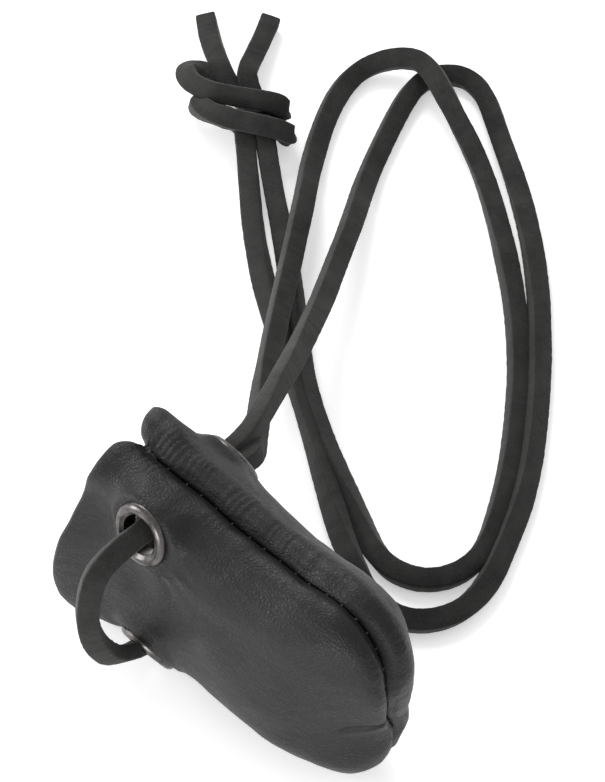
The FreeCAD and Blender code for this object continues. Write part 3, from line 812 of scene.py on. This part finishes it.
def set_eyelets(points, side):
    """Draw the leather flat under each eyelet, and find which points lie in its hole."""
    hole = np.zeros(len(points), bool)
    for place, tilt, on, puff in EYELETS:
        if on != side:
            continue
        axis = np.array((0.0, side * math.cos(math.radians(tilt)), math.sin(math.radians(tilt))))
        from_middle = points - np.array(place)
        height = from_middle @ axis
        flat = from_middle - height[:, None] * axis
        radius = np.linalg.norm(flat, axis=1)
        near = height > -5.0
        hold = smooth(HELD + puff, FLANGE, radius) * near * hump(height, 0, 4.5)
        hold = np.where(radius < FLANGE, near * 1.0, hold)
        target = -0.06 + 0.30 * hump(radius, 7.7, 0.9)
        above = smooth(-2, 4, flat[:, 2]) * smooth(6.0, 7.6, radius)
        target += puff * above * hump(radius, 8.6, 1.9)
        points = points + axis * ((target - height) * hold)[:, None]
        ring = (np.abs(radius - PUNCHED) < PUNCH_SNAP) & near
        points[ring] += (flat[ring] / radius[ring][:, None]) * (PUNCHED - radius[ring])[:, None]
        hole |= (radius < PUNCHED - PUNCH_SNAP) & near
    return points, hole


def make_panel(node, side, materials):
    """One leather panel: an open sheet given its thickness, with its seam allowance inside."""
    rows, shares = panel_rows(), panel_shares()
    grid = np.stack([section(row, side, shares) for row in rows])
    relax(grid, 10)
    grid, curl = collar(grid, side, shares)
    relax(grid, 8)
    normals = grid_normals(grid, side)
    grid = grid - normals * curl[..., None]
    chain, run, out = near_seam(grid)
    flat_normals = normals.reshape(-1, 3)
    points, away = lips(grid.reshape(-1, 3), flat_normals, side, chain, run, out)
    points = hollows(points, flat_normals, side, away)
    points = settle(lean(shoulders(points, side)))
    points, hole = set_eyelets(points, side)
    n, m = grid.shape[:2]
    number = np.arange(n * m).reshape(n, m)
    quads = []
    for i in range(n - 1):
        for j in range(m - 1):
            face = (number[i, j], number[i, j + 1], number[i + 1, j + 1], number[i + 1, j])
            if not hole[list(face)].any():
                quads.append(face if side < 0 else face[::-1])
    # the seam allowance follows the edge, turned into the bag
    edge = np.concatenate([number[:, 0], number[-1, 1:-1], number[::-1, -1]])
    verts = [tuple(p) for p in points]
    before = list(edge)
    for step in range(1, SEAM_ALLOWANCE + 1):
        row = []
        for k in range(len(edge)):
            row.append(len(verts))
            verts.append(tuple(points[edge[k]] - out[k] * step))
        for k in range(len(edge) - 1):
            face = (before[k], row[k], row[k + 1], before[k + 1])
            quads.append(face[::-1] if side < 0 else face)
        before = row
    mesh = bpy.data.meshes.new(node)
    places = [tuple(c * MM for c in v) for v in verts]
    mesh.from_pydata(places, [], [tuple(int(v) for v in q) for q in quads])
    work = bmesh.new()
    work.from_mesh(mesh)
    bmesh.ops.remove_doubles(work, verts=work.verts, dist=0.03 * MM)
    bmesh.ops.dissolve_degenerate(work, dist=0.02 * MM, edges=work.edges)
    loose = [v for v in work.verts if not v.link_faces]
    bmesh.ops.delete(work, geom=loose, context="VERTS")
    for face in work.faces:
        face.smooth = True
    work.to_mesh(mesh)
    work.free()
    for material in materials:
        mesh.materials.append(material)
    panel = bpy.data.objects.new("leather_" + node, mesh)
    scene.collection.objects.link(panel)
    solid = panel.modifiers.new("thickness", "SOLIDIFY")
    solid.thickness = LEATHER * MM
    solid.offset = -1
    solid.material_offset, solid.material_offset_rim = 1, 2
    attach(panel, "bag")
    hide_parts(node)
    return chain, run, out


def make_stitches(chain, run, out, material):
    """Short bridges of thread deep in the seam's valley."""
    places = np.arange(1.3, run[-1] - 1.0, STITCH_PITCH)
    wander = seam_wander(run)
    depths = seam_depth(chain[:, 0], chain[:, 2] > 24)
    verts, faces = [], []
    sides, rings = 8, 9
    for k, place in enumerate(places):
        i = int(np.searchsorted(run, place + 0.8 * noise.noise(Vector((place, 3.1, 0.7)))))
        way = unit(chain[min(i + 2, len(chain) - 1)] - chain[max(i - 2, 0)])
        up = out[i]
        middle = chain[i] - up * depths[i] * 0.85 + np.array((0, wander[i], 0))
        start = len(verts)
        across = unit(np.array((0.0, 1.0, 0.0)) + way * 0.30 * (-1) ** k)
        for r in range(rings):
            t = -1 + 2 * r / (rings - 1)
            arch = 0.20 * (1 - t * t) - 0.5 * t**4
            centre = middle + across * t * STITCH_HALF + up * arch
            radius = STITCH_RADIUS * math.sqrt(max(1 - t**6, 0.02))
            for s in range(sides):
                a = 2 * math.pi * s / sides
                verts.append(centre + way * radius * math.cos(a) + up * radius * math.sin(a))
        for r in range(rings - 1):
            for s in range(sides):
                a, b = start + r * sides + s, start + r * sides + (s + 1) % sides
                faces.append((a, b, b + sides, a + sides))
        faces.append(tuple(start + s for s in range(sides))[::-1])
        faces.append(tuple(start + (rings - 1) * sides + s for s in range(sides)))
    verts = lean(np.array(verts)) * MM
    mesh = bpy.data.meshes.new("seam_stitches")
    mesh.from_pydata([tuple(v) for v in verts], [], faces)
    mesh.polygons.foreach_set("use_smooth", [True] * len(mesh.polygons))
    mesh.materials.append(material)
    stitches = bpy.data.objects.new("seam_stitches", mesh)
    scene.collection.objects.link(stitches)
    work = bmesh.new()
    work.from_mesh(mesh)
    bmesh.ops.recalc_face_normals(work, faces=work.faces)
    work.to_mesh(mesh)
    work.free()
    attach(stitches, "bag")
    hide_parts("seam_thread")


make_stage()
make_drawstring()
grain = leather_material()
flesh = suede_material("leather_flesh", (0.030, 0.0285, 0.027), (0.060, 0.057, 0.054), 0.00012, 0.3)
edge = suede_material("leather_cut_edge", (0.035, 0.034, 0.033), (0.085, 0.081, 0.078), 0.00010, 0.3)
for node, side in (("front_panel", -1), ("back_panel", 1)):
    chain, run, out = make_panel(node, side, (grain, flesh, edge))
make_stitches(chain, run, out, thread_material())
nickel = eyelet_material()
for node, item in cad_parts.items():
    if node.endswith(("_eyelet", "_washer")):
        item.data.materials.clear()
        item.data.materials.append(nickel)
